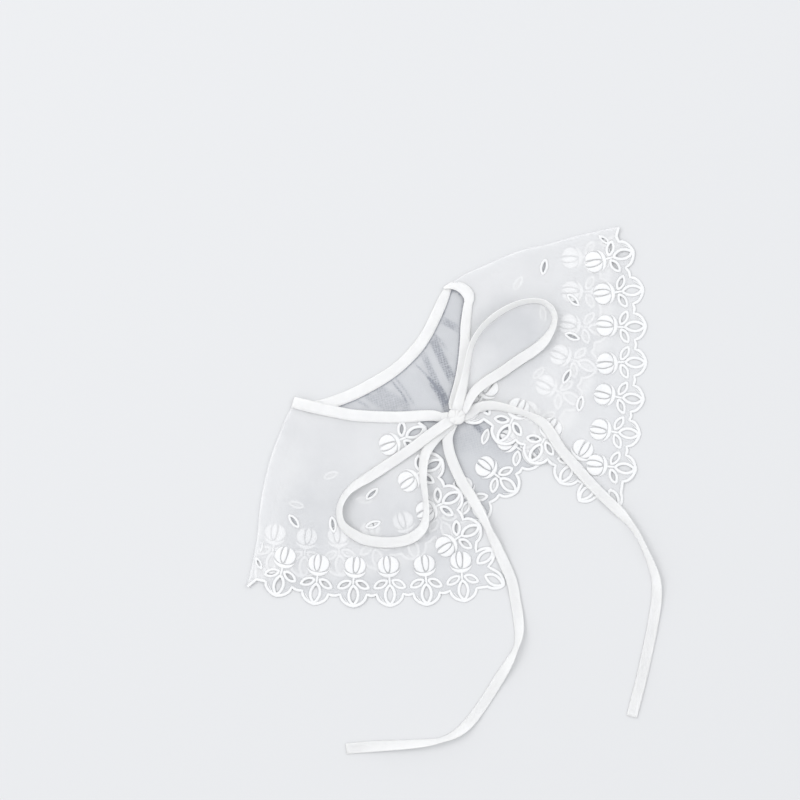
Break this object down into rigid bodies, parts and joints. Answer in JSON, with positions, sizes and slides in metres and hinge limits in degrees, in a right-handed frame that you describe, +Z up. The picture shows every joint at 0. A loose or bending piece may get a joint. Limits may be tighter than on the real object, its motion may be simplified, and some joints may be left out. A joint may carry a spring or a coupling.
{
  "type": "lace collar",
  "caption": "Sheer organza cape collar with an embroidered rosebud and leaf cutwork border, a ribbon-bound neck and ribbon ties in a bow, lying folded at the shoulders.",
  "frame": {"origin": "centre of the box of the collar without its free ties, at the surface that it lies on", "axes": "+X across the shoulders, towards the collar's right-hand shoulder in the view from above; -Y from the neck to the front hem; +Z up, away from the surface"},
  "size_m": [0.5093, 0.4226, 0.0122],
  "materials": {
    "organza": "sheer crisp organza with white satin-stitch embroidery and cutwork",
    "binding_ribbon": "soft matte ribbon folded over the neck edge and stitched",
    "tie_ribbon": "soft matte woven ribbon"
  },
  "bodies": {
    "root": {"collar_cape": "organza", "neck_binding": "binding_ribbon", "bow_knot": "tie_ribbon", "bow_loop_left": "tie_ribbon", "bow_loop_right": "tie_ribbon", "tie_tail_left": "tie_ribbon", "tie_tail_right": "tie_ribbon"}
  },
  "joints": []
}
